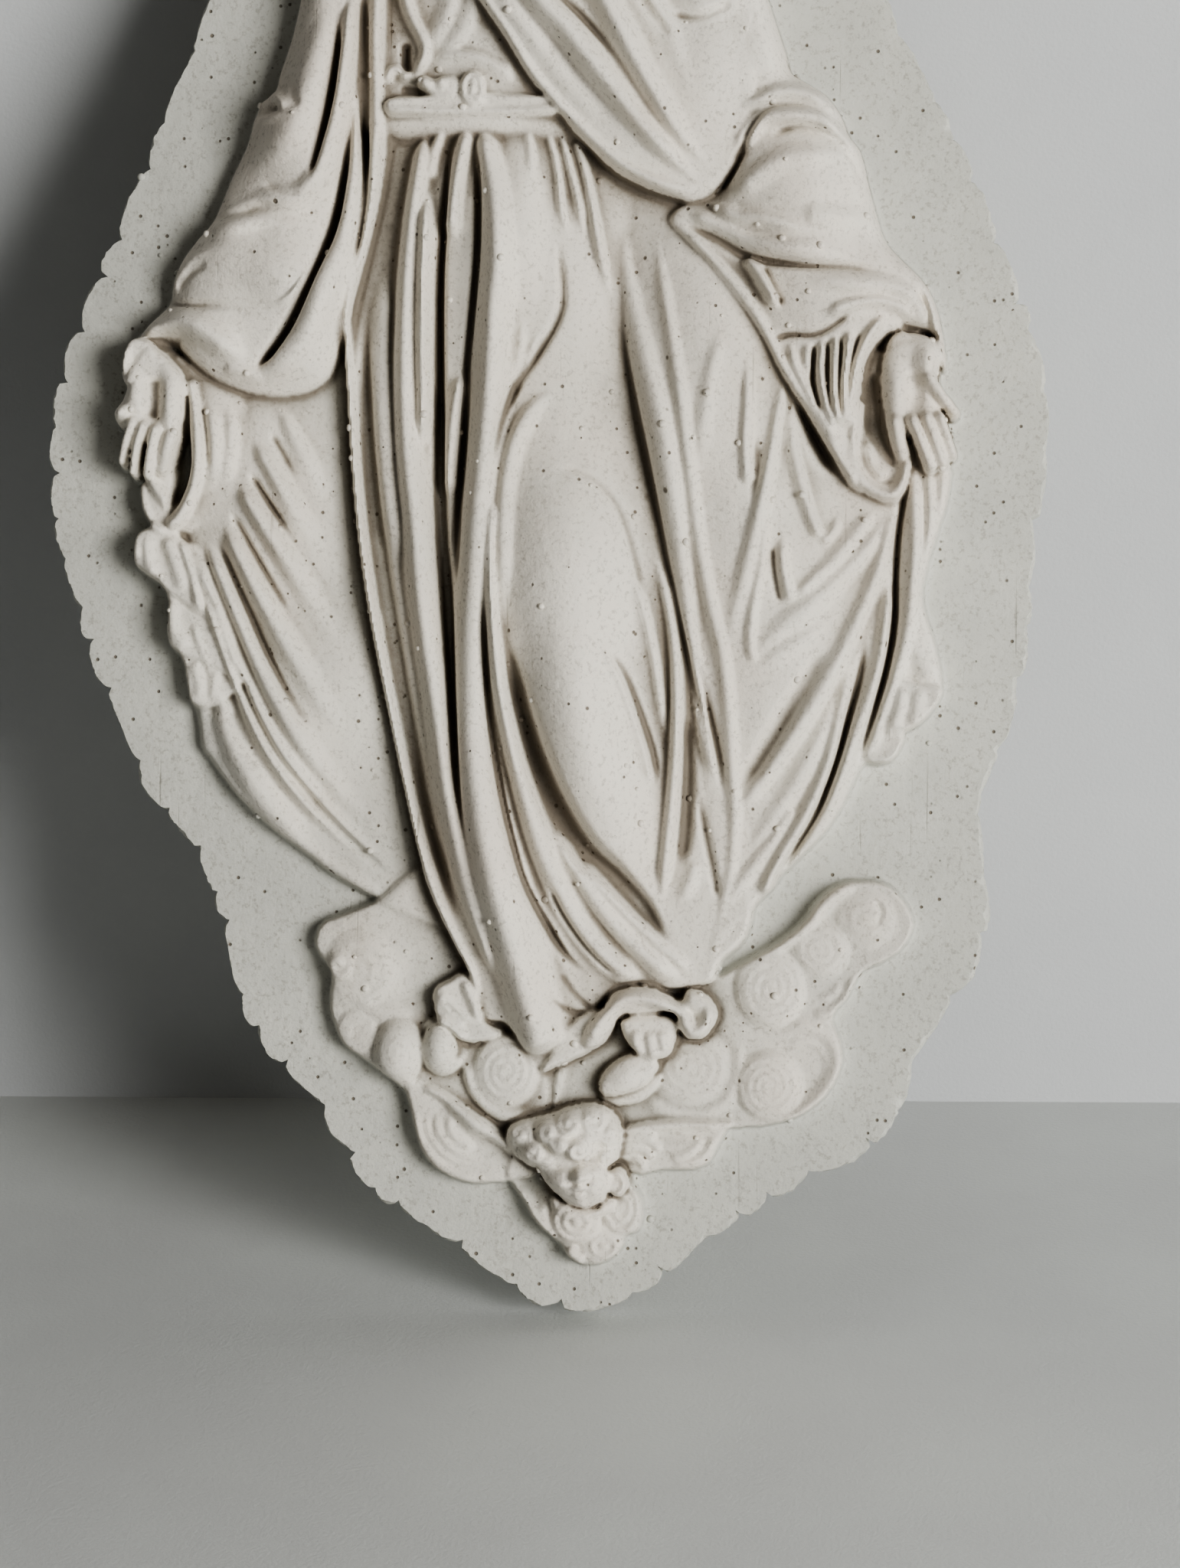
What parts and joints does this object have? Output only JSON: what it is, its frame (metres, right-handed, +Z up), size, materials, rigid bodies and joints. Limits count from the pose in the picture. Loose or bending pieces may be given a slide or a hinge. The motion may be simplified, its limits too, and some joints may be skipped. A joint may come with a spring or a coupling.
{
  "type": "madonna relief plaque",
  "caption": "Cast plaster wall plaque with a scalloped rim and a high relief of a robed Madonna above clouds and a winged cherub head.",
  "frame": {"origin": "on the flat back face, at the middle of the plate's widest level, where the back meets the wall", "axes": "+Z up, +X to the viewer's right, +Y out of the back face into the wall, so the relief looks along -Y"},
  "size_m": [0.2705, 0.0471, 0.4801],
  "materials": {
    "plaster": "matt off-white casting plaster with air pits, small beads and grey dust in the folds"
  },
  "bodies": {
    "root": {"plaque": "plaster"}
  },
  "joints": []
}
